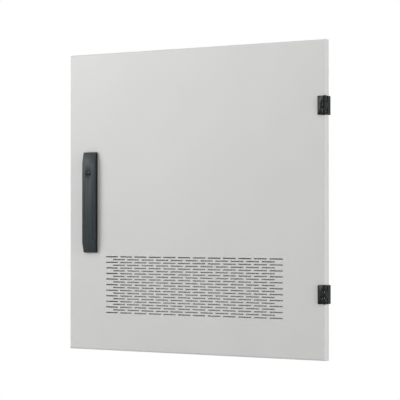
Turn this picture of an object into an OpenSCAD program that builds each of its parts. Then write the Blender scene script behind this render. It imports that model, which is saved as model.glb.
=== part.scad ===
// Vented sheet steel door for an electrical or network rack, with a swing
// lever handle, a two-point rod lock and two corner hinges.
// Frame: millimetres, +Z up, -Y is the outside, +X is the hinge side.
// Origin: centre of the four hinge screw holes, on the cabinet's front plane.
// Depths called "deep" are measured inward from the outer face of the door.

/* [Door] */
// Width of the door
door_w = 598; // [560:1:700]
// Height of the door
door_h = 598; // [560:1:700]
// Depth of the folded edge
door_deep = 16; // [15:0.5:18]
// Thickness of the door sheet
sheet_t = 1.5; // [1.2:0.1:1.6]
// Outer radius of the folds
fold_r = 3; // [2.5:0.1:3.4]
// Width of the flange folded inward along the back
flange_w = 14; // [12:0.5:15]

/* [Slots] */
// Length of one vent slot
slot_l = 30; // [20:1:32]
// Height of one vent slot
slot_h = 2.4; // [1.6:0.1:3]
// Distance between neighbouring slots in a row
slot_pitch = 35; // [34:0.5:36]
// Distance between neighbouring rows
row_pitch = 5.6; // [4.6:0.1:5.8]
// Slots in a full row
row_slots = 12; // [6:1:12]
// Number of rows, full and offset ones by turns
row_count = 21; // [5:2:21]
// Height of the slot field's middle above the door's bottom edge
slots_up = 132; // [130:1:134]

/* [Hinges] */
// Height of a hinge
hinge_h = 35.2; // [32:0.4:40]
// Distance between the two hinges' middles
hinge_spacing = 352; // [300:1:400]
// Width of the hinge leaf on the door's face
leaf_w = 15.3; // [15:0.1:16]
// Radius of the frame leaf's knuckle
knuckle_r = 5; // [4.8:0.1:5]
// Radius of the hinge pin
hinge_pin_r = 2; // [1.8:0.1:2.2]

/* [Handle] */
// Length of the handle
handle_l = 203; // [195:1:210]
// Width of the handle
handle_w = 32; // [31:0.5:33]
// Distance from the door's lock edge to the handle's middle
handle_in = 54.5; // [54:0.5:58]
// Height of the handle's middle relative to the door's middle
handle_up = -1.5; // [-4:0.5:4]
// Thickness of the base plate under the lever
base_t = 4; // [3.8:0.1:4.2]
// Distance from the door's face to the lever's front
handle_out = 11; // [10.8:0.1:11.2]
// Length of the sloping end of the lever and of the swivel head
slope_l = 25.5; // [22:0.5:27]
// Distance from the handle's middle to the lock's axis
lock_up = 56.5; // [50:0.5:60]

/* [Rod lock] */
// Module of the pinion and rack teeth
gear_module = 2; // [2:0.1:2]
// Teeth on the pinion
gear_teeth = 12; // [12:1:12]
// Thickness of the rods
rod_t = 3; // [2.6:0.1:3]
// Width of the gearbox
case_w = 48.6; // [48.6:0.1:50]
// Height of the gearbox
case_h = 74; // [74:1:80]

/* [Back] */
// Distance from the door's edge to the gasket
gasket_in = 19; // [18:0.5:19]
// Width of the gasket
gasket_w = 10; // [8:0.5:10]
// Depth of the air hood behind the slots
hood_deep = 16; // [12:0.5:18]
// Thickness of the air hood's sheet
hood_t = 1; // [0.8:0.1:1.2]

/* [Hidden] */
$fn = 64;

eps = 0.5;                              // overrun of every cutter
run_gap = 0.07;                         // radial clearance of a turning fit
rub_gap = 0.3;                          // clearance between sliding faces
slip = 0.2;                             // radial gap of a loose fit
past = 0.01;                            // an outline drawn just past the crowned face
steel = "#A9ACAE";
black = "#1E2224";
coat = "#D4D4D1";

// Frame leaf and door edges
leaf_t = 3.5;                           // thickness of the frame leaf's plate
leaf_gap = 0.5;                         // gap between the door's back and that plate
screw_pitch = 10.5;                     // distance between the two screws of a frame leaf
screw_first = 5.5;                      // from the door's edge to the first screw
front_y = -(door_deep + leaf_gap + leaf_t);
right_x = screw_first + screw_pitch / 2;
left_x = right_x - door_w;
top_z = door_h / 2;
back_deep = door_deep;

// Hinge
pin_x = right_x - 3.2;                  // hinge axis, inward from the door's edge
pin_deep = 2;
door_knuckle_r = knuckle_r - 0.3;
notch_w = 8.8;                          // notch in the door's edge that clears the knuckles
notch_deep = 7.5;
notch_h = hinge_h + 1.4;
knuckle_h = (hinge_h - 2 * rub_gap) / 3;
arm_in = 0.5;                           // the side arm's clearance beside the door
arm_out = knuckle_r - (right_x - pin_x);
arm_deep = 6.5;                         // where the full-height side arm starts
leaf_end = 5;                           // plate beyond the farther frame screw
pin_short = 0.3;                        // how far the pin's ends lie inside the hinge
pin_cham = 0.5;
leaf_plate_t = 2;
leaf_stud_x = right_x - 12.2;
leaf_stud_dz = 10;
leaf_stud_r = 2;
leaf_stud_tip = 8.5;
leaf_nut_r = 4;
leaf_nut_t = 3.2;
backing_t = 2;                          // plate under the leaf's nuts
backing_w = 5.5;
backing_half_h = 16;
screw_clear_r = 2.25;
screw_head_r = 4.1;
hinge_zs = [hinge_spacing / 2, -hinge_spacing / 2];

// Handle
handle_x = left_x + handle_in;
handle_z0 = handle_up - handle_l / 2;
handle_z1 = handle_up + handle_l / 2;
swivel_z = handle_z0 + handle_w / 2;
lock_z = handle_up + lock_up;
lift_z = handle_z0 + slope_l + 1.5;     // axis on which the lever lifts
lift_out = (handle_out + base_t + slip) / 2;
lift_r = (handle_out - base_t - slip) / 2;
lever_knuckle_r = lift_r - 0.05;
lift_pin_r = 1.25;
pin_cheek = 3.5;                        // closed cheek beyond the lever pin's hidden end
lug_w = 10;
lug_r = 2.4;
root_out = 0.9;                         // how far the lug's root reaches out from its axis
shell_drop = 1.4;                       // how far the lever's shell reaches below its axis
lever_half = handle_w / 2 - 0.4;
lever_back = base_t + slip;
tip_out = base_t + 1.2;                 // height of the handle's two thin ends
end_gap = 0.3;                          // how far those ends stop short of the base's
crown_r = 150;
crown_sides = 256;
edge_r = 1.5;
journal_r = 8;
shaft_a = 8;                            // side of the square shaft
shaft_hole_deep = 5.5;
shaft_fit = 0.1;
shaft_washer_r = 7;
shaft_washer_t = 1.2;
m5_r = 2.5;
m5_clear_r = 2.75;
m5_head_r = 4.5;
m5_head_t = 3;
m5_cross = 4.6;
cross_floor = 1.2;                      // what a cross recess leaves of the head
cross_w = 0.22;                         // width of a recess against its length
head_rim = 0.5;                         // straight part of a pan head
head_top = 0.7;                         // flat top of a pan head against its width
thread_gap = 0.03;
screw_reach = 2.5;                      // how far a screw goes into the base plate
base_web = 1;                           // what a blind screw hole leaves of the base plate
boss_r = 4.5;
boss_short = 0.1;
handle_washer_r = 7.5;
lock_face = 9.1;                        // distance of the lock's face from the door's
lock_head_r = 5.6;
lock_step = 7.65;                       // where the lock's head ends and its body starts
lock_body_r = 5.1;
lock_wall = 6.2;
lock_lap = 0.1;
lock_square = 5;
dish_r = 8.8;
cam_t = 1;
cam_r = 5.6;
cam_l = 7;
cam_end_r = 4.4;
cam_room_r = 12.6;
rivet_r = 3.3;                          // rolled end that keeps the cam on
rivet_t = 0.5;
socket_deep = 2.4;
socket_r = 3.2;
socket_wings = 8.8;
socket_pin_r = 1.5;
base_screws = [[-10.5, swivel_z + 20], [10.5, swivel_z + 20], [0, handle_z1 - 17.5]];

// Rod lock
pitch_r = gear_module * gear_teeth / 2;
tooth_p = PI * gear_module;
pressure = 20;
backlash = 0.24;
rack_add = 1.3;
rack_ded = 2;
gear_add = 1.6;
gear_ded = 1.75;
first_gap = -1;                         // rack gaps, counted from the pinion's axis
last_gap = 5;
rod_deep = 11;
rod_side = 22;                          // outer edge of a rod, from the pinion's axis
rod_mid = (pitch_r - rack_add + rod_side) / 2;
rod_w = rod_side - pitch_r + rack_add;
rod_tail = 14;
rod_end_z = top_z - 34;
glide_end_z = top_z - 31;
case_z = swivel_z;
case_t = 2;
case_deep = 14.6;
cover_t = 2;
pillar_dz = 29;
pillar_r = 4.5;
pillar_hole_deep = 5.5;
tab_dz = -45;
m4_r = 2;
m4_head_r = 3.8;
m4_head_t = 2.6;
m4_l = 10;
m4_floor = 1;
guide_zs = [170, -205];
guide_h = 14;
guide_stud_dx = 16.5;
foot_t = 3;

// Gasket, hood and studs
gasket_corner_r = 20;
gasket_base_t = 3;
slots_z = slots_up - top_z;
field_w = row_slots * slot_pitch - (slot_pitch - slot_l);
field_x = right_x - door_w / 2;
field_h = (row_count - 1) * row_pitch + slot_h;
hood_margin = 6;
hood_x0 = field_x - field_w / 2 - hood_margin - hood_t;
hood_x1 = field_x + field_w / 2 + hood_margin + hood_t;
hood_z1 = slots_z + field_h / 2 + 9;
hood_z0 = slots_z - field_h / 2 - 12;
hood_flange = 12;
hood_back = sheet_t + hood_deep;
hood_flange_top = case_z - case_h / 2 - 3;
stud_deep = 12;
stud_cham = 0.6;
hex_sides = 6;
washer_t = 1;
washer_r = 5;
nut_t = 4;
nut_r = 4.6;
nut_corner = 0.4;                       // how far a nut's corners are turned down
nut_slope = 1.8;
// Weld studs: x, z, and the depth of the face that each one's nut clamps
hood_stud_at = concat(
    [for (x = [hood_x0 + 20, field_x, hood_x1 - 20]) [x, hood_z1 + hood_flange / 2, sheet_t + hood_t]],
    [for (z = [hood_z0 + 15, hood_flange_top - 15], x = [hood_x0 - hood_flange / 2,
        hood_x1 + hood_flange / 2]) [x, z, sheet_t + hood_t]]
);
guide_stud_at = [for (i = [0, 1]) [guide_x(i) + guide_stud_dx, guide_zs[i], sheet_t + foot_t]];
case_stud_at = [[handle_x, case_z + tab_dz, sheet_t + case_t]];
stud_at = concat(hood_stud_at, guide_stud_at, case_stud_at);
earth_x = right_x - 54;
earth_z = -top_z + 44;
earth_r = 4;
earth_free_r = 3.32;                    // root of the free thread beyond the nut
earth_tip = 21;
earth_washer_t = 1.6;
earth_washer_r = 8;
earth_nut_r = 7.5;
earth_nut_t = 6.5;
earth_nut_end = sheet_t + earth_washer_t + earth_nut_t;

function guide_x(i) = handle_x + (i == 0 ? 1 : -1) * rod_mid;

// ---- helpers -------------------------------------------------------------

// Extrude an outline drawn in X and Z from one depth to another.
module slab(deep0, deep1) {
    translate([0, front_y + deep1, 0])
        rotate([90, 0, 0])
            linear_extrude(deep1 - deep0) children();
}

// Extrude an outline drawn in depth and Z from one x to another.
module across(x0, x1) {
    translate([x0, front_y, 0])
        rotate([90, 0, 90])
            linear_extrude(x1 - x0) children();
}

// Extrude an outline drawn in x and depth from one z to another.
module upright(z0, z1) {
    translate([0, front_y, z0])
        linear_extrude(z1 - z0) children();
}

module disc(x, z, r, deep0, deep1) {
    slab(deep0, deep1) translate([x, z]) circle(r);
}

// Cone along Y: radius r0 at depth deep0 and r1 at depth deep1.
module cone(x, z, r0, deep0, r1, deep1) {
    translate([x, front_y + deep1, z])
        rotate([90, 0, 0])
            cylinder(r1 = r1, r2 = r0, h = deep1 - deep0);
}

module box(x0, x1, deep0, deep1, z0, z1) {
    translate([x0, front_y + deep0, z0])
        cube([x1 - x0, deep1 - deep0, z1 - z0]);
}

module rect(a0, b0, a1, b1) {
    translate([a0, b0]) square([a1 - a0, b1 - b0]);
}

module round_rect(a0, b0, a1, b1, r) {
    rect(a0 + r, b0, a1 - r, b1);
    rect(a0, b0 + r, a1, b1 - r);
    for (a = [a0 + r, a1 - r], b = [b0 + r, b1 - r])
        translate([a, b]) circle(r);
}

// A tray folded from sheet: its two cross sections, extruded and crossed.
module folded_block(inset, r) {
    intersection() {
        upright(-top_z + inset, top_z - inset)
            round_rect(left_x + inset, inset, right_x - inset, back_deep - inset, r);
        across(left_x + inset, right_x - inset)
            round_rect(inset, -top_z + inset, back_deep - inset, top_z - inset, r);
    }
}

// ---- door ----------------------------------------------------------------

module slot_outline() {
    square([slot_l - slot_h, slot_h], center = true);
    for (side = [-1, 1])
        translate([side * (slot_l - slot_h) / 2, 0]) circle(slot_h / 2);
}

module slot_field() {
    for (row = [0 : row_count - 1])
        let (offset_row = row % 2, n = row_slots - offset_row)
            for (i = [0 : n - 1])
                translate([
                    field_x + (i - (n - 1) / 2) * slot_pitch,
                    slots_z + (row - (row_count - 1) / 2) * row_pitch
                ]) slot_outline();
}

module door_panel() {
    color(coat)
    difference() {
        folded_block(0, fold_r);
        folded_block(sheet_t, fold_r - sheet_t);
        // window inside the flanges
        slab(back_deep - sheet_t - eps, back_deep + eps)
            rect(left_x + flange_w, -top_z + flange_w, right_x - flange_w, top_z - flange_w);
        // vent slots
        slab(-eps, sheet_t + eps) slot_field();
        // hinge notches and stud holes
        for (z = hinge_zs) {
            box(right_x - notch_w, right_x + eps, -eps, notch_deep, z - notch_h / 2, z + notch_h / 2);
            for (side = [-1, 1])
                disc(leaf_stud_x, z + side * leaf_stud_dz, leaf_stud_r + slip, -eps, sheet_t + eps);
        }
        // handle holes
        disc(handle_x, swivel_z, journal_r + 1, -eps, sheet_t + eps);
        for (p = base_screws)
            disc(handle_x + p[0], p[1], boss_r + slip, -eps, sheet_t + eps);
    }
}

module gasket_section() {
    rect(-gasket_w / 2, sheet_t, gasket_w / 2, sheet_t + gasket_base_t);
    intersection() {
        translate([0, sheet_t + gasket_base_t]) circle(gasket_w / 2);
        rect(-gasket_w, sheet_t, gasket_w, sheet_t + gasket_w);
    }
}

module door_gasket() {
    mid = gasket_in + gasket_w / 2;
    x0 = left_x + mid + gasket_corner_r;
    x1 = right_x - mid - gasket_corner_r;
    z1 = top_z - mid - gasket_corner_r;
    color("#2B2B2B") {
        for (x = [left_x + mid, right_x - mid])
            upright(-z1, z1) translate([x, 0]) gasket_section();
        for (side = [-1, 1])
            translate([x0, front_y, side * (top_z - mid)])
                rotate([0, 90, 0])
                    linear_extrude(x1 - x0) gasket_section();
        for (corner = [[x1, z1, 0], [x0, z1, 90], [x0, -z1, 180], [x1, -z1, 270]])
            translate([corner[0], front_y, corner[1]])
                rotate([0, -corner[2], 0])
                    rotate([90, 0, 0])
                        mirror([0, 0, 1])
                            rotate_extrude(angle = 90)
                                translate([gasket_corner_r, 0]) gasket_section();
    }
}

// Hat section of the air hood: two flanges, two walls and the back.
module hood_section() {
    outer_r = 2 * hood_t;
    difference() {
        union() {
            rect(hood_x0, sheet_t, hood_x1, hood_back - outer_r);
            rect(hood_x0 + outer_r, sheet_t, hood_x1 - outer_r, hood_back);
            for (x = [hood_x0 + outer_r, hood_x1 - outer_r])
                translate([x, hood_back - outer_r]) circle(outer_r);
        }
        rect(hood_x0 + hood_t, 0, hood_x1 - hood_t, hood_back - outer_r);
        rect(hood_x0 + outer_r, 0, hood_x1 - outer_r, hood_back - hood_t);
        for (x = [hood_x0 + outer_r, hood_x1 - outer_r])
            translate([x, hood_back - outer_r]) circle(hood_t);
    }
}

module vent_hood() {
    outer_r = 2 * hood_t;
    color("#CFCFCC")
    difference() {
        union() {
            upright(hood_z0, hood_z1 - outer_r) hood_section();
            // top wall with its own fold
            difference() {
                intersection() {
                    upright(hood_z1 - outer_r - eps, hood_z1) {
                        rect(hood_x0, sheet_t, hood_x1, hood_back - outer_r);
                        rect(hood_x0 + outer_r, sheet_t, hood_x1 - outer_r, hood_back);
                        for (x = [hood_x0 + outer_r, hood_x1 - outer_r])
                            translate([x, hood_back - outer_r]) circle(outer_r);
                    }
                    across(hood_x0, hood_x1) {
                        rect(0, hood_z1 - 2 * outer_r, hood_back - outer_r, hood_z1);
                        rect(0, hood_z1 - 2 * outer_r, hood_back, hood_z1 - outer_r);
                        translate([hood_back - outer_r, hood_z1 - outer_r]) circle(outer_r);
                    }
                }
                box(hood_x0 + hood_t, hood_x1 - hood_t, 0, hood_back - hood_t,
                    hood_z0, hood_z1 - hood_t);
            }
            // flanges against the door
            box(hood_x0, hood_x1, sheet_t, sheet_t + hood_t, hood_z1 - hood_t, hood_z1 + hood_flange);
            for (x = [hood_x0 - hood_flange, hood_x1 - hood_t])
                box(x, x + hood_flange + hood_t, sheet_t, sheet_t + hood_t,
                    hood_z0, hood_flange_top);
        }
        for (p = hood_stud_at)
            disc(p[0], p[1], m5_clear_r, 0, sheet_t + hood_t + eps);
    }
}

module weld_studs() {
    color(steel)
    for (p = stud_at) {
        disc(p[0], p[1], m5_r, sheet_t, stud_deep - stud_cham);
        cone(p[0], p[1], m5_r, stud_deep - stud_cham, m5_r - stud_cham, stud_deep);
    }
}

module stud_washers() {
    color(steel)
    for (p = stud_at)
        slab(p[2], p[2] + washer_t)
            translate([p[0], p[1]])
                difference() {
                    circle(washer_r);
                    circle(m5_clear_r);
                }
}

module hex_nut(x, z, r, bore_r, deep0, deep1) {
    difference() {
        intersection() {
            slab(deep0, deep1) translate([x, z]) circle(r, $fn = hex_sides);
            cone(x, z, r - nut_corner + nut_slope, deep0, r - nut_corner, deep1);
        }
        disc(x, z, bore_r, deep0 - eps, deep1 + eps);
    }
}

module stud_nuts() {
    color(steel)
    for (p = stud_at)
        hex_nut(p[0], p[1], nut_r, m5_r, p[2] + washer_t, p[2] + washer_t + nut_t);
}

module earth_stud() {
    color("#C9A24B") {
        disc(earth_x, earth_z, earth_r, sheet_t, earth_nut_end);
        disc(earth_x, earth_z, earth_free_r, earth_nut_end - eps, earth_tip);
    }
}

module earth_washer() {
    color(steel)
    slab(sheet_t, sheet_t + earth_washer_t)
        translate([earth_x, earth_z])
            difference() {
                circle(earth_washer_r);
                circle(earth_r + slip);
            }
}

module earth_nut() {
    color(steel)
    hex_nut(earth_x, earth_z, earth_nut_r, earth_r, sheet_t + earth_washer_t, earth_nut_end);
}

// ---- hinges --------------------------------------------------------------

module hinge_door_leaf(z) {
    edge = right_x - leaf_w;
    color(black)
    difference() {
        union() {
            slab(-leaf_plate_t, 0)
                difference() {
                    round_rect(edge, z - hinge_h / 2, pin_x + 2, z + hinge_h / 2, 1);
                    rect(right_x - notch_w, z - knuckle_h / 2 - rub_gap,
                        pin_x + 3, z + knuckle_h / 2 + rub_gap);
                }
            for (z0 = [z - hinge_h / 2, z + knuckle_h / 2 + rub_gap])
                translate([pin_x, front_y + pin_deep, z0])
                    cylinder(r = door_knuckle_r, h = knuckle_h);
            for (side = [-1, 1])
                disc(leaf_stud_x, z + side * leaf_stud_dz, leaf_stud_r,
                    -leaf_plate_t / 2, leaf_stud_tip);
        }
        translate([pin_x, front_y + pin_deep, z - hinge_h])
            cylinder(r = hinge_pin_r + run_gap, h = 2 * hinge_h);
    }
}

module hinge_frame_leaf(z) {
    plate_deep = back_deep + leaf_gap;
    corner_x = right_x + arm_out - leaf_t;
    color(black)
    difference() {
        union() {
            upright(z - hinge_h / 2, z + hinge_h / 2) {
                rect(right_x + arm_in, arm_deep, right_x + arm_out, plate_deep);
                rect(right_x - screw_first - screw_pitch - leaf_end, plate_deep,
                    corner_x, plate_deep + leaf_t);
                intersection() {
                    translate([corner_x, plate_deep]) circle(leaf_t);
                    rect(corner_x, plate_deep, corner_x + leaf_t, plate_deep + leaf_t);
                }
            }
            upright(z - knuckle_h / 2, z + knuckle_h / 2) {
                translate([pin_x, pin_deep]) circle(knuckle_r);
                rect(right_x + arm_in, pin_deep, right_x + arm_out, arm_deep + eps);
            }
        }
        translate([pin_x, front_y + pin_deep, z - hinge_h])
            cylinder(r = hinge_pin_r, h = 2 * hinge_h);
        for (dx = [-1, 1]) {
            disc(dx * screw_pitch / 2, z, screw_clear_r, plate_deep - eps, plate_deep + leaf_t + eps);
            cone(dx * screw_pitch / 2, z, screw_head_r, plate_deep, screw_clear_r,
                plate_deep + screw_head_r - screw_clear_r);
        }
    }
}

module hinge_pin(z) {
    half = hinge_h / 2 - pin_short;
    color(steel)
    translate([pin_x, front_y + pin_deep, z]) {
        translate([0, 0, -half + pin_cham]) cylinder(r = hinge_pin_r, h = 2 * (half - pin_cham));
        for (side = [0, 1])
            mirror([0, 0, side])
                translate([0, 0, half - pin_cham])
                    cylinder(r1 = hinge_pin_r, r2 = hinge_pin_r - pin_cham, h = pin_cham);
    }
}

module hinge_plate(z) {
    color(steel)
    slab(sheet_t, sheet_t + backing_t)
        difference() {
            round_rect(leaf_stud_x - backing_w, z - backing_half_h,
                right_x - notch_w - slip, z + backing_half_h, 1);
            for (side = [-1, 1])
                translate([leaf_stud_x, z + side * leaf_stud_dz]) circle(leaf_stud_r + slip);
        }
}

module hinge_nuts() {
    color(steel)
    for (z = hinge_zs, side = [-1, 1])
        hex_nut(leaf_stud_x, z + side * leaf_stud_dz, leaf_nut_r, leaf_stud_r,
            sheet_t + backing_t, sheet_t + backing_t + leaf_nut_t);
}

// ---- handle --------------------------------------------------------------

// Cross section shared by the lever and the swivel head: a shallow crown.
module lever_section() {
    intersection() {
        union() {
            rect(handle_x - lever_half, -handle_out + edge_r, handle_x + lever_half, -lever_back);
            rect(handle_x - lever_half + edge_r, -handle_out,
                handle_x + lever_half - edge_r, -lever_back);
            for (side = [-1, 1])
                translate([handle_x + side * (lever_half - edge_r), -handle_out + edge_r])
                    circle(edge_r);
        }
        translate([handle_x, crown_r - handle_out]) circle(crown_r, $fn = crown_sides);
    }
}

module handle_base() {
    color("#17191A")
    difference() {
        union() {
            slab(-base_t, 0)
                round_rect(handle_x - handle_w / 2, handle_z0, handle_x + handle_w / 2, handle_z1, 2);
            for (p = base_screws)
                disc(handle_x + p[0], p[1], boss_r, -eps, sheet_t - boss_short);
        }
        disc(handle_x, swivel_z, journal_r + run_gap, -base_t - eps, sheet_t);
        for (p = base_screws)
            disc(handle_x + p[0], p[1], m5_r, -base_t + base_web, sheet_t + eps);
    }
}

module pan_screw(x, z, r, head_r, head_t, seat, tip) {
    disc(x, z, r - thread_gap, tip, seat + eps);
    disc(x, z, head_r, seat, seat + head_t * head_rim);
    cone(x, z, head_r, seat + head_t * head_rim, head_r * head_top, seat + head_t);
}

module cross_recess(x, z, deep0, deep1, size) {
    for (turn = [0, 90])
        slab(deep0, deep1)
            translate([x, z]) rotate(turn) square([size, size * cross_w], center = true);
}

module handle_screws() {
    color(steel)
    for (i = [0 : 2])
        let (p = base_screws[i], seat = sheet_t + (i < 2 ? case_t : washer_t))
            difference() {
                pan_screw(handle_x + p[0], p[1], m5_r, m5_head_r, m5_head_t, seat, -screw_reach);
                cross_recess(handle_x + p[0], p[1], seat + cross_floor, seat + m5_head_t + eps, m5_cross);
            }
}

module handle_washer() {
    p = base_screws[2];
    color(steel)
    slab(sheet_t, sheet_t + washer_t)
        translate([handle_x + p[0], p[1]])
            difference() {
                circle(handle_washer_r);
                circle(m5_clear_r);
            }
}

module swivel_head() {
    groove_r = lift_r + rub_gap;
    color("#3A4143")
    difference() {
        union() {
            difference() {
                intersection() {
                    upright(handle_z0, lift_z) lever_section();
                    across(handle_x - handle_w, handle_x + handle_w)
                        polygon([
                            [-lever_back, handle_z0 + end_gap],
                            [-tip_out, handle_z0 + end_gap],
                            [-handle_out - past, handle_z0 + slope_l],
                            [-handle_out - past, lift_z],
                            [-lever_back, lift_z]
                        ]);
                }
                across(handle_x - handle_w, handle_x + handle_w)
                    translate([-lift_out, lift_z]) circle(groove_r);
            }
            // lug for the lever's pin
            across(handle_x - lug_w / 2, handle_x + lug_w / 2) {
                translate([-lift_out, lift_z]) circle(lug_r);
                rect(-lift_out - root_out, lift_z - groove_r - 1, -lift_out + lug_r, lift_z);
            }
            disc(handle_x, swivel_z, journal_r, -lever_back - eps, sheet_t - slip);
            slab(0, rod_deep + rod_t)
                translate([handle_x, swivel_z]) square(shaft_a, center = true);
        }
        across(handle_x - handle_w, handle_x + handle_w)
            translate([-lift_out, lift_z]) circle(lift_pin_r);
        disc(handle_x, swivel_z, m5_r, shaft_hole_deep, rod_deep + rod_t + eps);
    }
}

module lever_pin() {
    color(steel)
    across(handle_x - lever_half + pin_cham, handle_x + lever_half - pin_cheek - pin_cham)
        translate([-lift_out, lift_z]) circle(lift_pin_r);
}

module lever() {
    pocket_z0 = lift_z + 12;
    pocket_l = 19;
    pocket_n = 4;
    rib = 2.5;
    skin = 3;
    mark_dz = -15;
    mark_r = 0.9;
    color("#434A4D")
    difference() {
        intersection() {
            upright(lift_z - lift_r, handle_z1) lever_section();
            across(handle_x - handle_w, handle_x + handle_w)
                difference() {
                    polygon([
                        [-lever_back, lift_z - lift_r],
                        [-handle_out - past, lift_z - lift_r],
                        [-handle_out - past, handle_z1 - slope_l],
                        [-tip_out, handle_z1 - end_gap],
                        [-lever_back, handle_z1 - end_gap]
                    ]);
                    // round knuckle about the lifting axis
                    difference() {
                        rect(-handle_out - 1, lift_z - lift_r - 1, 0, lift_z);
                        translate([-lift_out, lift_z]) circle(lever_knuckle_r);
                    }
                }
        }
        // seat for the head's lug, open towards the base and hidden from the front
        across(handle_x - lug_w / 2 - rub_gap, handle_x + lug_w / 2 + rub_gap) {
            translate([-lift_out, lift_z]) circle(lug_r + rub_gap);
            rect(-lift_out, lift_z - lift_r - 1, 0, lift_z + lug_r + rub_gap);
            rect(-handle_out - 1, lift_z - lift_r - 1, 0, lift_z - shell_drop);
        }
        across(handle_x - handle_w, handle_x + lever_half - pin_cheek)
            translate([-lift_out, lift_z]) circle(lift_pin_r + run_gap);
        // ribbed underside
        for (i = [0 : pocket_n - 1])
            let (z0 = pocket_z0 + i * (pocket_l + rib))
                slab(-handle_out + skin, 0)
                    round_rect(handle_x - lever_half + rib, z0,
                        handle_x + lever_half - rib, z0 + pocket_l, 2);
        // lock: dished mouth, two-step bore and a pocket for the cam
        cone(handle_x, lock_z, dish_r, -handle_out - slip, lock_head_r + run_gap, -lock_face + slip);
        disc(handle_x, lock_z, lock_head_r + run_gap, -lock_face + lock_lap, -lock_step + lock_lap / 2);
        disc(handle_x, lock_z, lock_body_r + run_gap, -lock_step - lock_lap / 2, -lock_wall + lock_lap);
        disc(handle_x, lock_z, cam_room_r, -lock_wall, 0);
        // small mark under the lock
        disc(handle_x, lock_z + mark_dz, mark_r, -handle_out - eps, -handle_out + eps);
    }
}

module lock_insert() {
    body_end = -lock_wall + lock_lap;
    cam_end = body_end + cam_t;
    socket_end = -lock_face + socket_deep;
    color("#15181A")
    difference() {
        union() {
            disc(handle_x, lock_z, lock_head_r, -lock_face, -lock_step);
            disc(handle_x, lock_z, lock_body_r, -lock_step - lock_lap, body_end);
            slab(-lock_wall, cam_end + lock_lap)
                translate([handle_x, lock_z]) square(lock_square, center = true);
            disc(handle_x, lock_z, rivet_r, cam_end, cam_end + rivet_t);
        }
        difference() {
            slab(-lock_face - eps, socket_end)
                translate([handle_x, lock_z]) {
                    circle(socket_r);
                    square([socket_wings, socket_r], center = true);
                }
            disc(handle_x, lock_z, socket_pin_r, -lock_face, socket_end + eps);
        }
    }
}

module lock_cam() {
    color(steel)
    slab(-lock_wall + lock_lap, -lock_wall + lock_lap + cam_t)
        translate([handle_x, lock_z])
            difference() {
                union() {
                    circle(cam_r);
                    rect(-cam_end_r, 0, cam_end_r, cam_l);
                    translate([0, cam_l]) circle(cam_end_r);
                }
                square(lock_square + 0.02, center = true);
            }
}

// ---- rod lock ------------------------------------------------------------

// Angle in degrees that an involute has turned where it meets a radius.
function involute(r, base) = let (t = sqrt(max(0, pow(r / base, 2) - 1))) t * 180 / PI - atan(t);

module pinion_outline() {
    base = pitch_r * cos(pressure);
    root = pitch_r - gear_ded;
    tip = pitch_r + gear_add;
    steps = 6;
    half_pitch = 90 / gear_teeth - backlash / 4 / pitch_r * 180 / PI + involute(pitch_r, base);
    flank = concat(
        [[root, half_pitch]],
        [for (i = [0 : steps]) let (r = base + (tip - base) * i / steps) [r, half_pitch - involute(r, base)]]
    );
    polygon([
        for (tooth = [0 : gear_teeth - 1])
            let (at = tooth * 360 / gear_teeth)
                each concat(
                    [for (p = flank) p[0] * [cos(at - p[1]), sin(at - p[1])]],
                    [for (i = [len(flank) - 1 : -1 : 0])
                        let (p = flank[i]) p[0] * [cos(at + p[1]), sin(at + p[1])]]
                )
    ]);
}

module pinion() {
    color("#8F8A7C")
    difference() {
        union() {
            disc(handle_x, case_z, journal_r, sheet_t + slip, sheet_t + case_t + rub_gap);
            disc(handle_x, case_z, journal_r + 1, sheet_t + case_t + slip, rod_deep + eps);
            slab(rod_deep, rod_deep + rod_t) translate([handle_x, case_z]) pinion_outline();
            disc(handle_x, case_z, journal_r, rod_deep + rod_t - eps, case_deep + cover_t - slip);
        }
        slab(0, rod_deep + rod_t + shaft_fit)
            translate([handle_x, case_z]) square(shaft_a + shaft_fit, center = true);
        disc(handle_x, case_z, m5_clear_r, rod_deep, case_deep + cover_t + eps);
    }
}

module rack_gap(k) {
    tan_p = tan(pressure);
    half = tooth_p / 4 + backlash / 4;
    tip = pitch_r - rack_add - 1;
    root = pitch_r + rack_ded;
    polygon([
        [tip, k * tooth_p - half - (pitch_r - tip) * tan_p],
        [root, k * tooth_p - half + rack_ded * tan_p],
        [root, k * tooth_p + half - rack_ded * tan_p],
        [tip, k * tooth_p + half + (pitch_r - tip) * tan_p]
    ]);
}

// Outline of the rod that points up, with the pinion's axis at the origin.
module rod_outline() {
    difference() {
        rect(pitch_r - rack_add, -rod_tail, rod_side, rod_end_z - case_z);
        for (k = [first_gap : last_gap]) rack_gap(k);
    }
}

module lower_rod_outline() {
    mirror([0, 1]) mirror([1, 0])
        difference() {
            rect(pitch_r - rack_add, -rod_tail, rod_side, rod_end_z + case_z);
            for (k = [first_gap : last_gap]) rack_gap(k);
        }
}

module upper_rod() {
    color(steel)
    slab(rod_deep, rod_deep + rod_t) translate([handle_x, case_z]) rod_outline();
}

module lower_rod() {
    color(steel)
    slab(rod_deep, rod_deep + rod_t) translate([handle_x, case_z]) lower_rod_outline();
}

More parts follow.
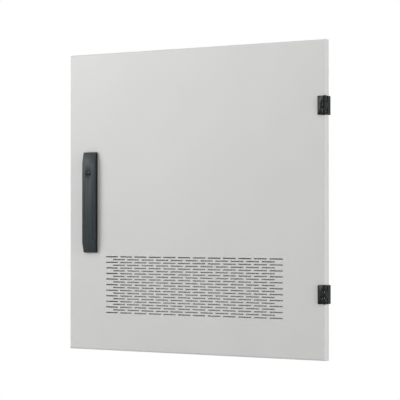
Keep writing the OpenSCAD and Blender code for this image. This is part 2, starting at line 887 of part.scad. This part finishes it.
// Nylon cap on a rod's end, with a lead-in slope on each broad side.
module rod_glide(x, up) {
    cap_l = 20;
    cap_t = 2;
    side_t = 1.6;
    tip_t = 0.4;
    slope = 4;
    color("#E4E1D6")
    difference() {
        intersection() {
            box(x - rod_w / 2 - side_t, x + rod_w / 2 + side_t, rod_deep - cap_t, rod_deep + rod_t + cap_t,
                min(up * glide_end_z, up * (glide_end_z - cap_l)),
                max(up * glide_end_z, up * (glide_end_z - cap_l)));
            across(x - rod_w, x + rod_w)
                polygon([
                    [rod_deep - cap_t, up * (glide_end_z - cap_l)],
                    [rod_deep + rod_t + cap_t, up * (glide_end_z - cap_l)],
                    [rod_deep + rod_t + cap_t, up * (glide_end_z - slope)],
                    [rod_deep + rod_t + tip_t, up * glide_end_z],
                    [rod_deep - tip_t, up * glide_end_z],
                    [rod_deep - cap_t, up * (glide_end_z - slope)]
                ]);
        }
        box(x - rod_w / 2, x + rod_w / 2, rod_deep, rod_deep + rod_t,
            up > 0 ? 0 : -rod_end_z, up > 0 ? rod_end_z : 0);
    }
}

module rod_guide(x, z) {
    wall = 3;
    roof = 2.5;
    corner = 1.5;
    foot_end = 7;
    color("#E4E1D6")
    difference() {
        union() {
            slab(sheet_t, rod_deep + rod_t + roof)
                round_rect(x - rod_w / 2 - wall, z - guide_h / 2,
                    x + rod_w / 2 + wall, z + guide_h / 2, corner);
            slab(sheet_t, sheet_t + foot_t)
                round_rect(x, z - guide_h / 2, x + guide_stud_dx + foot_end, z + guide_h / 2, corner);
        }
        box(x - rod_w / 2 - rub_gap, x + rod_w / 2 + rub_gap, rod_deep - rub_gap,
            rod_deep + rod_t + rub_gap, z - guide_h, z + guide_h);
        disc(x + guide_stud_dx, z, m5_clear_r, 0, 2 * rod_deep);
    }
}

module lock_case() {
    half_w = case_w / 2;
    inner_w = half_w - case_t;
    inner_h = case_h / 2 - case_t;
    ledge = 16;
    corner = 3;
    tab_half = 8;
    color("#9DA0A2")
    difference() {
        union() {
            difference() {
                slab(sheet_t, case_deep)
                    round_rect(handle_x - half_w, case_z - case_h / 2,
                        handle_x + half_w, case_z + case_h / 2, corner);
                slab(sheet_t + case_t, case_deep + eps)
                    rect(handle_x - ledge, case_z - inner_h, handle_x + ledge, case_z + inner_h);
                slab(rod_deep - rub_gap, case_deep + eps)
                    rect(handle_x - inner_w, case_z - inner_h, handle_x + inner_w, case_z + inner_h);
            }
            for (side = [-1, 1])
                disc(handle_x, case_z + side * pillar_dz, pillar_r, sheet_t, case_deep);
            // tab for the weld stud under the case
            slab(sheet_t, sheet_t + case_t)
                round_rect(handle_x - tab_half, case_z + tab_dz - tab_half,
                    handle_x + tab_half, case_z, 2);
        }
        disc(handle_x, case_z, journal_r + run_gap, 0, sheet_t + case_t + eps);
        for (i = [0, 1])
            disc(handle_x + base_screws[i][0], base_screws[i][1], m5_clear_r, 0, sheet_t + case_t + eps);
        for (side = [-1, 1])
            disc(handle_x, case_z + side * pillar_dz, m4_r, pillar_hole_deep, case_deep + eps);
        disc(handle_x, case_z + tab_dz, m5_clear_r, 0, sheet_t + case_t + eps);
        // mouths for the two rods
        box(handle_x + pitch_r - rack_add - rub_gap, handle_x + rod_side + rub_gap,
            rod_deep - rub_gap, case_deep + eps, case_z, case_z + case_h);
        box(handle_x - rod_side - rub_gap, handle_x - pitch_r + rack_add + rub_gap,
            rod_deep - rub_gap, case_deep + eps, case_z - case_h, case_z);
    }
}

module lock_cover() {
    color("#9DA0A2")
    slab(case_deep, case_deep + cover_t)
        difference() {
            round_rect(handle_x - case_w / 2, case_z - case_h / 2,
                handle_x + case_w / 2, case_z + case_h / 2, 3);
            translate([handle_x, case_z]) circle(journal_r + run_gap);
            for (side = [-1, 1])
                translate([handle_x, case_z + side * pillar_dz]) circle(m4_r + slip);
        }
}

module cover_screws() {
    seat = case_deep + cover_t;
    color(steel)
    for (side = [-1, 1])
        difference() {
            pan_screw(handle_x, case_z + side * pillar_dz, m4_r, m4_head_r, m4_head_t, seat, seat - m4_l);
            cross_recess(handle_x, case_z + side * pillar_dz, seat + m4_floor,
                seat + m4_head_t + eps, m4_head_r);
        }
}

module shaft_washer() {
    seat = case_deep + cover_t - slip;
    color(steel)
    slab(seat, seat + shaft_washer_t)
        translate([handle_x, case_z])
            difference() {
                circle(shaft_washer_r);
                circle(m5_clear_r);
            }
}

module shaft_screw() {
    seat = case_deep + cover_t - slip + shaft_washer_t;
    color(steel)
    difference() {
        pan_screw(handle_x, case_z, m5_r, m5_head_r, m5_head_t, seat, shaft_hole_deep + 1);
        cross_recess(handle_x, case_z, seat + cross_floor, seat + m5_head_t + eps, m5_cross);
    }
}

door_panel();
door_gasket();
vent_hood();
weld_studs();
stud_washers();
stud_nuts();
hinge_door_leaf(hinge_zs[0]);  // hinge_door_leaf_upper
hinge_door_leaf(hinge_zs[1]);  // hinge_door_leaf_lower
hinge_frame_leaf(hinge_zs[0]);  // hinge_frame_leaf_upper
hinge_frame_leaf(hinge_zs[1]);  // hinge_frame_leaf_lower
hinge_pin(hinge_zs[0]);  // hinge_pin_upper
hinge_pin(hinge_zs[1]);  // hinge_pin_lower
hinge_plate(hinge_zs[0]);  // hinge_plate_upper
hinge_plate(hinge_zs[1]);  // hinge_plate_lower
hinge_nuts();
handle_base();
handle_screws();
handle_washer();
swivel_head();
lever_pin();
lever();
lock_insert();
lock_cam();
lock_case();
lock_cover();
cover_screws();
pinion();
shaft_washer();
shaft_screw();
upper_rod();
lower_rod();
rod_glide(handle_x + rod_mid, 1);  // upper_rod_glide
rod_glide(handle_x - rod_mid, -1);  // lower_rod_glide
rod_guide(guide_x(0), guide_zs[0]);  // upper_rod_guide
rod_guide(guide_x(1), guide_zs[1]);  // lower_rod_guide
earth_stud();
earth_washer();
earth_nut();
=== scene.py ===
# %% [markdown]
# A vented rack door, dressed
#
# The frame brings in the solids of a light grey sheet steel door: the folded
# panel with its slots, a swing lever handle, two black corner hinges, and the
# lock rods, air hood and gasket on its back. This lesson gives each of them the
# finish of the real one, softens the edges that a press, a mould or a coat
# would leave round, and lights the door as in a plain white studio.

# %% Load the frame and keep its box
import bpy
import math
import numpy as np
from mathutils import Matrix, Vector


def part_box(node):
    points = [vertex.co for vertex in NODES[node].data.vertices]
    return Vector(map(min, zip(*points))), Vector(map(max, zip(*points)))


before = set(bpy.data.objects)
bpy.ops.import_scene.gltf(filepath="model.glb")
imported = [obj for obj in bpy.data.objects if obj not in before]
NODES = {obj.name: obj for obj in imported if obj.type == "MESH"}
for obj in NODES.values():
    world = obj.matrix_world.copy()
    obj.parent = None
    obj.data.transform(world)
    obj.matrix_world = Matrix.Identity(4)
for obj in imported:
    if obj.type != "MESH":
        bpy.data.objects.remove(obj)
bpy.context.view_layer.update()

MM = 0.001
print("nodes in the frame:", len(NODES))

# %% [markdown]
# Colours and nodes
#
# Paint charts give colours as sRGB hex values, but shaders work in linear
# light. One function converts them, so that a colour is written as it is seen.
# A second function adds a node with its settings and links in one line, which
# keeps each material short enough to read as a list of its layers.

# %% Colour and node helpers
def linear(hex_colour, alpha=1.0):
    """sRGB to linear: c/12.92 under 0.04045, else ((c+0.055)/1.055)^2.4."""
    srgb = np.array([int(hex_colour[i:i + 2], 16) for i in (1, 3, 5)]) / 255
    low, high = srgb / 12.92, ((srgb + 0.055) / 1.055) ** 2.4
    return (*np.where(srgb <= 0.04045, low, high).tolist(), alpha)


def add(tree, kind, settings=None, **links):
    """Adds a node. Settings are attributes or socket values; links are socket=source pairs."""
    node = tree.nodes.new(kind)
    for name, value in (settings or {}).items():
        if name in node.inputs:
            node.inputs[name].default_value = value
        else:
            setattr(node, name, value)
    for name, source in links.items():
        tree.links.new(source, node.inputs[name.replace("_", " ")])
    return node


def start_material(name, hex_colour, roughness, **sockets):
    """A material with one Principled shader, whose uniform values sit on its own sockets."""
    material = bpy.data.materials.new(name)
    material.use_nodes = True
    tree = material.node_tree
    tree.nodes.clear()
    shader = add(tree, "ShaderNodeBsdfPrincipled",
                 {"Base Color": linear(hex_colour), "Roughness": roughness})
    for socket, value in sockets.items():
        shader.inputs[socket.replace("_", " ")].default_value = value
    add(tree, "ShaderNodeOutputMaterial", Surface=shader.outputs[0])
    material.diffuse_color = linear(hex_colour)
    return material, tree, shader


def object_coordinates(tree):
    """The node's own coordinates, in metres, so that a pattern moves with its piece."""
    return add(tree, "ShaderNodeTexCoord").outputs["Object"]


def noise(tree, vector, size_mm, detail=2.0, roughness=0.5):
    """Noise whose features are about size_mm across: its scale is one over that size in metres."""
    return add(tree, "ShaderNodeTexNoise",
               {"Scale": 1 / (size_mm * MM), "Detail": detail, "Roughness": roughness},
               Vector=vector).outputs["Fac"]


def ramp(tree, value, stops):
    """A colour ramp through (position, hex colour) stops."""
    node = add(tree, "ShaderNodeValToRGB", Fac=value)
    for i, (position, hex_colour) in enumerate(stops):
        element = node.color_ramp.elements[i] if i < 2 else node.color_ramp.elements.new(position)
        element.position, element.color = position, linear(hex_colour)
    return node.outputs["Color"]


def spread(tree, value, low, high, low_in=0.3, high_in=0.7):
    """Maps the middle of a noise onto a range, such as a roughness."""
    return add(tree, "ShaderNodeMapRange",
               {"From Min": low_in, "From Max": high_in, "To Min": low, "To Max": high},
               Value=value).outputs["Result"]


def bump(tree, height, depth_mm, strength=1.0, normal=None):
    """Bump whose full height is depth_mm."""
    links = {"Height": height}
    if normal is not None:
        links["Normal"] = normal
    return add(tree, "ShaderNodeBump", {"Distance": depth_mm * MM, "Strength": strength},
               **links).outputs["Normal"]


def feed(tree, source, shader, socket):
    """Links a source to one socket of the shader."""
    tree.links.new(source, shader.inputs[socket])


print("light grey in linear light:", [round(c, 3) for c in linear("#D7D7D4")])

# %% [markdown]
# Powder-coated sheet steel
#
# The panel is sprayed with dry polyester powder and baked. The melt leaves an
# orange peel a few millimetres across, a finer grain from the powder itself,
# and a satin gloss. The tone drifts by a percent or so where the coat is
# thicker. All three are noises of their real sizes; a tiled image
# would repeat over a panel this wide.

# %% Powder coat
def powder_coat(name, hex_dark, hex_light, roughness=0.42):
    """Satin polyester powder on steel: grey drift, 2.5 mm orange peel, 0.5 mm grain."""
    material, tree, shader = start_material(name, hex_light, roughness, IOR=1.5)
    where = object_coordinates(tree)
    drift = noise(tree, where, 140, detail=3)
    feed(tree, ramp(tree, drift, [(0.3, hex_dark), (0.7, hex_light)]), shader, "Base Color")
    peel = noise(tree, where, 2.5, detail=1)
    grain = noise(tree, where, 0.5, detail=1)
    feed(tree, spread(tree, grain, roughness - 0.04, roughness + 0.05), shader, "Roughness")
    coarse = bump(tree, peel, 0.012)
    feed(tree, bump(tree, grain, 0.006, normal=coarse), shader, "Normal")
    return material


coat = powder_coat("powder_coated_sheet_steel", "#D1D1CF", "#D4D4D2")
hood_coat = powder_coat("powder_coated_thin_sheet", "#D0D0CD", "#D3D3D0", roughness=0.48)
print("coats:", coat.name, hood_coat.name)

# %% [markdown]
# Glass-filled nylon
#
# The lever and the swivel head are injection-moulded from anthracite nylon with
# glass fibres. The mould is spark-eroded, so the skin has a fine matt grain,
# and the melt, which ran along the lever, leaves faint long streaks. Stretching
# a noise along the lever's length draws them. The base under the lever is the
# same nylon in black.

# %% Nylon mouldings
def filled_nylon(name, hex_dark, hex_light, roughness, sheen):
    """Moulded nylon with glass fibre: long flow streaks and a 0.35 mm spark grain."""
    material, tree, shader = start_material(name, hex_light, roughness, Specular_IOR_Level=sheen)
    where = object_coordinates(tree)
    along = add(tree, "ShaderNodeMapping", {"Scale": (1, 1, 0.04)}, Vector=where).outputs["Vector"]
    streak = noise(tree, along, 2.2, detail=3)
    feed(tree, ramp(tree, streak, [(0.3, hex_dark), (0.7, hex_light)]), shader, "Base Color")
    grain = noise(tree, where, 0.35, detail=1)
    feed(tree, spread(tree, streak, roughness - 0.05, roughness + 0.06), shader, "Roughness")
    feed(tree, bump(tree, grain, 0.02), shader, "Normal")
    return material


lever_nylon = filled_nylon("glass_filled_nylon_anthracite", "#2B3235", "#323A3D", 0.42, 0.2)
base_nylon = filled_nylon("glass_filled_nylon_black", "#0E1011", "#131516", 0.5, 0.15)


def natural_nylon_material():
    """Unfilled nylon: milky, with light entering a millimetre or so, and a faint mould grain."""
    material, tree, shader = start_material("natural_nylon", "#E6E2D5", 0.4, IOR=1.53)
    shader.inputs["Subsurface Weight"].default_value = 0.3
    shader.inputs["Subsurface Radius"].default_value = (0.0012, 0.001, 0.0007)
    shader.inputs["Subsurface Scale"].default_value = 1.0
    where = object_coordinates(tree)
    cloud = noise(tree, where, 8, detail=2)
    feed(tree, ramp(tree, cloud, [(0.3, "#E2DDCE"), (0.7, "#E9E6DA")]), shader, "Base Color")
    feed(tree, bump(tree, noise(tree, where, 0.4, detail=1), 0.01), shader, "Normal")
    return material


natural_nylon = natural_nylon_material()
print("nylons:", lever_nylon.name, base_nylon.name, natural_nylon.name)

# %% [markdown]
# Die-cast zinc
#
# The hinges and the lock insert are zinc castings under a thin black coat,
# smoother than the panel's, which is why each knuckle carries a sharp grey
# streak of reflected light. The gearbox stays bare: its skin keeps the clouds
# of the cooling metal.

# %% Zinc castings
def black_casting(name, hex_dark, hex_light, roughness, sheen):
    """Thin black coat on zinc: half-gloss, with a soft 1.2 mm unevenness from the casting."""
    material, tree, shader = start_material(name, hex_light, roughness, Specular_IOR_Level=sheen)
    where = object_coordinates(tree)
    cloud = noise(tree, where, 6, detail=2)
    feed(tree, ramp(tree, cloud, [(0.3, hex_dark), (0.7, hex_light)]), shader, "Base Color")
    feed(tree, spread(tree, cloud, roughness - 0.03, roughness + 0.05), shader, "Roughness")
    feed(tree, bump(tree, noise(tree, where, 1.2, detail=2), 0.01), shader, "Normal")
    return material


hinge_black = black_casting("black_coated_die_cast_zinc", "#080A0B", "#0C0F10", 0.34, 0.16)
insert_black = black_casting("black_passivated_zinc", "#101314", "#16191B", 0.3, 0.3)


def bare_metal(name, hex_dark, hex_light, roughness, cloud_mm, grain_mm, grain_depth_mm):
    """A bare or plated metal: cloudy tone and gloss, over a fine grain of its own size."""
    material, tree, shader = start_material(name, hex_light, roughness, Metallic=1.0)
    where = object_coordinates(tree)
    cloud = noise(tree, where, cloud_mm, detail=3)
    feed(tree, ramp(tree, cloud, [(0.3, hex_dark), (0.7, hex_light)]), shader, "Base Color")
    feed(tree, spread(tree, cloud, roughness - 0.06, roughness + 0.08), shader, "Roughness")
    feed(tree, bump(tree, noise(tree, where, grain_mm, detail=2), grain_depth_mm), shader, "Normal")
    return material


cast_zinc = bare_metal("bare_die_cast_zinc", "#8F9294", "#A4A7A9", 0.46, 9, 0.8, 0.02)
print("castings:", hinge_black.name, insert_black.name, cast_zinc.name)

# %% [markdown]
# Plated, ground and sintered steel
#
# Rods, nuts and washers are zinc-plated: a cool silver with pale clouds. Pins
# are ground stainless steel, whose fine lines run round them. The pinion is
# pressed from iron powder, so it is dark and slightly porous. The earth stud
# wears yellow chromate. On bare metal, colour is the tint of its reflection.

# %% Steel finishes
zinc_plate = bare_metal("zinc_plated_steel", "#B4B9BD", "#C9CDD0", 0.32, 5, 0.4, 0.006)
sintered = bare_metal("sintered_steel", "#6A6862", "#7C7972", 0.42, 3, 0.25, 0.03)
chromate = bare_metal("yellow_chromated_steel", "#B0893A", "#D0B060", 0.3, 4, 0.5, 0.006)


def ground_pin_material():
    """Ground stainless steel: rings 0.15 mm apart round the pin, from a noise squashed along Z."""
    material, tree, shader = start_material("ground_stainless_steel", "#C2C3C2", 0.26, Metallic=1.0)
    where = object_coordinates(tree)
    rings = add(tree, "ShaderNodeMapping", {"Scale": (0.02, 0.02, 1)}, Vector=where).outputs["Vector"]
    lines = noise(tree, rings, 0.15, detail=2)
    feed(tree, ramp(tree, lines, [(0.3, "#B4B5B4"), (0.7, "#C8C9C8")]), shader, "Base Color")
    feed(tree, bump(tree, lines, 0.004), shader, "Normal")
    return material


pin_steel = ground_pin_material()
print("steels:", zinc_plate.name, sintered.name, chromate.name, pin_steel.name)

# %% [markdown]
# Foamed polyurethane
#
# The gasket is poured as a liquid bead that rises and cures on the panel. It
# keeps a closed skin with open pinholes, almost without gloss. Voronoi cells
# give the pinholes, whose middles get painted shade, and a wide noise gives the slight unevenness of
# the bead.

# %% Gasket foam
def foam_material():
    """Black PU foam: 0.9 mm cells, of which the bump shows the walls and painted shade darkens the
    pits, and a dull skin.
    """
    material, tree, shader = start_material("foamed_polyurethane", "#262627", 0.88, IOR=1.45)
    where = object_coordinates(tree)
    cells = add(tree, "ShaderNodeTexVoronoi", {"Scale": 1 / (0.9 * MM)}, Vector=where)
    distance = cells.outputs["Distance"]
    # The ramp darkens each cell's middle, where the bump sinks a pit: painted shade in the pinholes.
    feed(tree, ramp(tree, distance, [(0.05, "#161617"), (0.5, "#2B2B2C")]), shader, "Base Color")
    soft = bump(tree, noise(tree, where, 7, detail=2), 0.25)
    feed(tree, bump(tree, distance, 0.08, normal=soft), shader, "Normal")
    return material


foam = foam_material()
print("foam:", foam.name)

# %% [markdown]
# Which piece wears what
#
# The frame's solids keep their shapes, so dressing them is one table from a
# finish to the pieces that have it.

# %% Dress the solids
FINISHES = {
    coat: ["door_panel"],
    hood_coat: ["vent_hood"],
    foam: ["door_gasket"],
    lever_nylon: ["lever", "swivel_head"],
    base_nylon: ["handle_base"],
    natural_nylon: ["upper_rod_glide", "lower_rod_glide", "upper_rod_guide", "lower_rod_guide"],
    hinge_black: ["hinge_door_leaf_upper", "hinge_door_leaf_lower",
                  "hinge_frame_leaf_upper", "hinge_frame_leaf_lower"],
    insert_black: ["lock_insert"],
    cast_zinc: ["lock_case", "lock_cover"],
    sintered: ["pinion"],
    chromate: ["earth_stud"],
    pin_steel: ["hinge_pin_upper", "hinge_pin_lower", "lever_pin"],
}
dressed = {node: finish for finish, nodes in FINISHES.items() for node in nodes}
for name, node in NODES.items():
    node.data.materials.clear()
    node.data.materials.append(dressed.get(name, zinc_plate))
print("zinc-plated by default:", sorted(set(NODES) - set(dressed)))

# %% [markdown]
# Edges that are never quite sharp
#
# A mould, a casting die and a coat of powder all leave a small radius on every
# edge, and that radius is what catches the light. The solids are stored as
# loose triangles, so a Weld joins them first. A Bevel limited to sharp angles
# then rounds the edges, and leaves the flat faces alone.

# %% Soften edges
def soften(names, width_mm, segments=2, angle=28):
    """Weld, then bevel every edge sharper than the angle, in degrees, by width_mm."""
    for name in names:
        node = NODES[name]
        weld = node.modifiers.new("weld", "WELD")
        weld.merge_threshold = 0.002 * MM
        bevel = node.modifiers.new("edge radius", "BEVEL")
        bevel.width = width_mm * MM
        bevel.segments = segments
        bevel.limit_method = "ANGLE"
        bevel.angle_limit = math.radians(angle)
        bevel.use_clamp_overlap = True
        bevel.harden_normals = True
        node.data.polygons.foreach_set("use_smooth", np.ones(len(node.data.polygons), bool))
    print("softened by", width_mm, "mm:", ", ".join(names))


EDGE_MM = {"handle_base": 0.6, "lever": 0.4, "swivel_head": 0.4, "lock_insert": 0.2}
HINGE_EDGE_MM = 0.35
for softened, edge in EDGE_MM.items():
    soften([softened], edge)
soften(["hinge_door_leaf_upper", "hinge_door_leaf_lower",
        "hinge_frame_leaf_upper", "hinge_frame_leaf_lower"], HINGE_EDGE_MM)

# %% [markdown]
# Floor, light and camera
#
# The door hangs on a cabinet, so the floor lies well below it. The world and
# the far floor are plain white wherever the camera or a reflection sees them,
# and the floor near the door keeps its shadow. One large soft lamp stands far
# to the front left, hardly above the middle, so that its light slants through
# the slots. A small lamp above lifts the upper half, and a tall one on the
# hinge side lights the folded edge.

# %% White surroundings
door_low, door_high = (np.array(corner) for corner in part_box("door_panel"))
face_centre = (door_low + door_high) / 2
face_centre[1] = door_low[1]
FLOOR_DROP = 0.55                       # from the door's lower edge to the floor, in metres
FLOOR_Z = door_low[2] - FLOOR_DROP


def seen_directly(tree):
    """1 on rays from the camera, from a reflection or through glass, and 0 on light rays."""
    path = add(tree, "ShaderNodeLightPath")
    total = path.outputs["Is Camera Ray"]
    for name in ("Is Glossy Ray", "Is Transmission Ray"):
        joined = add(tree, "ShaderNodeMath", {"operation": "MAXIMUM"})
        tree.links.new(total, joined.inputs[0])
        tree.links.new(path.outputs[name], joined.inputs[1])
        total = joined.outputs[0]
    return total


def make_world(light_strength):
    """White where it is seen, and a soft light of the given strength on everything else."""
    world = bpy.data.worlds.new("white studio")
    bpy.context.scene.world = world
    world.use_nodes = True
    tree = world.node_tree
    tree.nodes.clear()
    seen = add(tree, "ShaderNodeBackground", {"Color": (1, 1, 1, 1), "Strength": 1.0})
    light = add(tree, "ShaderNodeBackground", {"Color": linear("#FAFBFF"), "Strength": light_strength})
    mix = add(tree, "ShaderNodeMixShader", Fac=seen_directly(tree))
    tree.links.new(light.outputs[0], mix.inputs[1])
    tree.links.new(seen.outputs[0], mix.inputs[2])
    add(tree, "ShaderNodeOutputWorld", Surface=mix.outputs[0])


def make_floor(half_size, fade_start, fade_end):
    """A white floor that keeps shadows near the door and fades to plain white with distance."""
    corners = np.array([(-1, -1, 0), (1, -1, 0), (1, 1, 0), (-1, 1, 0)]) * half_size
    mesh = bpy.data.meshes.new("floor")
    mesh.from_pydata((corners + [face_centre[0], face_centre[1], FLOOR_Z]).tolist(), [], [(0, 1, 2, 3)])
    floor = bpy.data.objects.new("floor", mesh)
    bpy.context.scene.collection.objects.link(floor)
    material, tree, shader = start_material("matt_white_floor", "#F0F0F0", 0.9)
    output = tree.nodes["Material Output"]
    seen = add(tree, "ShaderNodeEmission", {"Color": (1, 1, 1, 1), "Strength": 1.0})
    centred = add(tree, "ShaderNodeMapping",
                  {"Location": (-face_centre[0], -face_centre[1], -FLOOR_Z)},
                  Vector=object_coordinates(tree))
    length = add(tree, "ShaderNodeVectorMath", {"operation": "LENGTH"})
    tree.links.new(centred.outputs["Vector"], length.inputs[0])
    fade = add(tree, "ShaderNodeMapRange",
               {"interpolation_type": "SMOOTHSTEP", "From Min": fade_start, "From Max": fade_end},
               Value=length.outputs["Value"])
    far = add(tree, "ShaderNodeMath", {"operation": "MULTIPLY"})
    tree.links.new(fade.outputs["Result"], far.inputs[0])
    tree.links.new(seen_directly(tree), far.inputs[1])
    mix = add(tree, "ShaderNodeMixShader", Fac=far.outputs[0])
    tree.links.new(shader.outputs[0], mix.inputs[1])
    tree.links.new(seen.outputs[0], mix.inputs[2])
    tree.links.new(mix.outputs[0], output.inputs["Surface"])
    mesh.materials.append(material)


WORLD_LIGHT = 0.21
FLOOR_HALF, FADE_START, FADE_END = 30, 0.8, 2.4    # metres
make_world(WORLD_LIGHT)
make_floor(FLOOR_HALF, FADE_START, FADE_END)
print("floor at", round(FLOOR_Z, 3), "m")

# %% Lamps
def soft_lamp(name, azimuth, elevation, distance, width, height, watts):
    """An area lamp, in metres, on a sphere round the door's face and aimed at its middle."""
    a, e = math.radians(azimuth), math.radians(elevation)
    away = np.array([math.sin(a) * math.cos(e), -math.cos(a) * math.cos(e), math.sin(e)])
    data = bpy.data.lights.new(name, "AREA")
    data.shape, data.size, data.size_y, data.energy = "RECTANGLE", width, height, watts
    lamp = bpy.data.objects.new(name, data)
    lamp.location = (face_centre + away * distance).tolist()
    lamp.rotation_euler = Vector((-away).tolist()).to_track_quat("-Z", "Y").to_euler()
    bpy.context.scene.collection.objects.link(lamp)
    print(name, "at", [round(c, 2) for c in lamp.location])


LAMPS = {  # azimuth and elevation in degrees; distance, width and height in metres; watts
    "key": (-50, 15, 4.0, 2.4, 1.4, 80),
    "top": (-20, 65, 2.0, 1.2, 1.0, 11),
    "fill": (80, 8, 3.0, 0.9, 1.8, 46),
}
for lamp_name, setting in LAMPS.items():
    soft_lamp(lamp_name, *setting)

# %% Camera
FOCAL_MM, SENSOR_MM = 157.98, 36
YAW, PITCH = math.radians(33.63), 0.0125
CAMERA_OFFSET = np.array([1.9090, -2.8398, -0.0410])    # from the middle of the door's face
camera_data = bpy.data.cameras.new("camera")
camera_data.lens, camera_data.sensor_width = FOCAL_MM, SENSOR_MM
camera = bpy.data.objects.new("camera", camera_data)
camera.location = (face_centre + CAMERA_OFFSET).tolist()
camera.rotation_euler = (math.pi / 2 + PITCH, 0, YAW)
bpy.context.scene.collection.objects.link(camera)
bpy.context.scene.camera = camera
bpy.context.scene.view_settings.view_transform = "Standard"
print("camera at", [round(c, 3) for c in camera.location])
